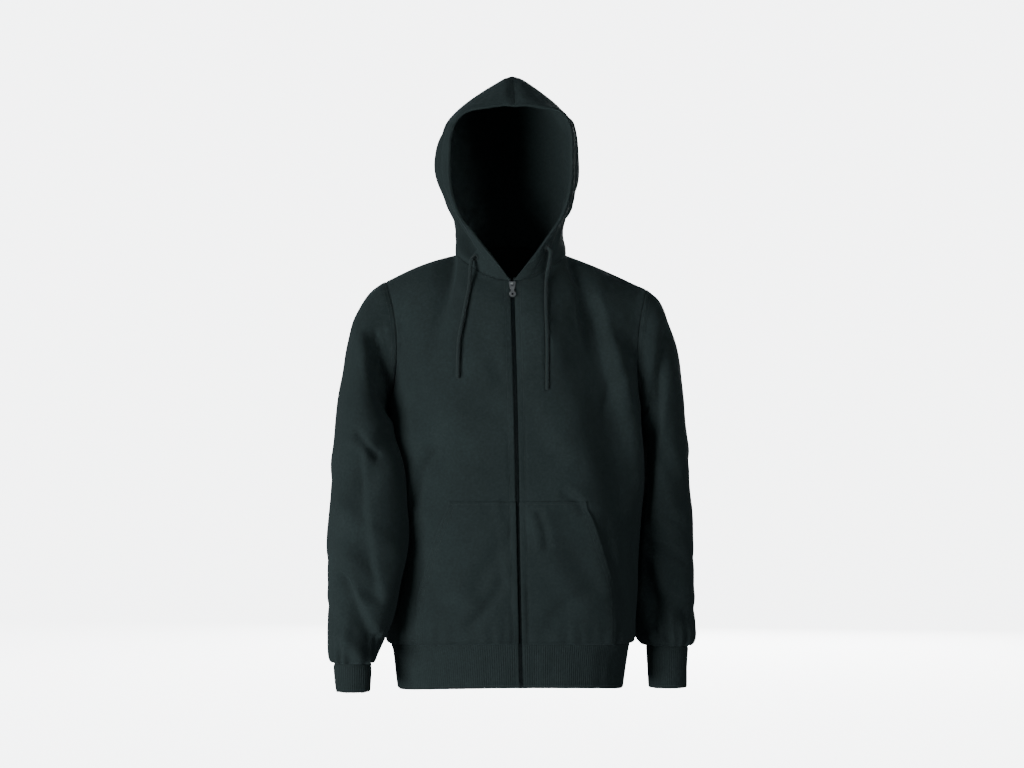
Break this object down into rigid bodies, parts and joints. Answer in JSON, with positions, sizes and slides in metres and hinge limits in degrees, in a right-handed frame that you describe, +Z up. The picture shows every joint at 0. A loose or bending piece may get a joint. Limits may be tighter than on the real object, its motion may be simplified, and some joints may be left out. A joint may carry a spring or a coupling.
{
  "type": "zip up hoodie",
  "caption": "Hooded sweatshirt with a full front zip, front pouch pocket, ribbed cuffs and waistband and a hood drawcord, filled out as worn with the hood up.",
  "frame": {"origin": "middle of the neck's base at shoulder height, where the wearer's shoulders carry it", "axes": "+Z up along the body, -Y the front with the zip, +X the wearer's left"},
  "size_m": [0.6134, 0.2924, 1.0159],
  "materials": {
    "fleece": "matt brushed cotton fleece",
    "rib": "matt ribbed knit",
    "tape": "matt woven tape",
    "cord": "matt braided cord",
    "metal": "bright satin",
    "teeth": "dark moulded, soft gloss"
  },
  "bodies": {
    "garment": {"front_left": "fleece", "front_right": "fleece", "back": "fleece", "sleeve_left": "fleece", "sleeve_right": "fleece", "cuff_left": "rib", "cuff_right": "rib", "waistband": "rib", "hood_left": "fleece", "hood_right": "fleece", "pocket_left": "fleece", "pocket_right": "fleece", "zip_tape_left": "tape", "zip_tape_right": "tape", "zip_chain": "teeth", "zip_box": "teeth", "zip_slider": "metal", "eyelet_left": "cord", "eyelet_right": "cord", "drawcord_left": "cord", "drawcord_right": "cord"},
    "pull_tab": {"pull_tab": "metal"}
  },
  "joints": [
    {"name": "pull_swing", "type": "hinge", "parent": "garment", "child": "pull_tab", "pos_m": [-0.003, -0.09789, -0.0477], "axis": [-1, 0, 0], "range_deg": [0, 150]}
  ]
}
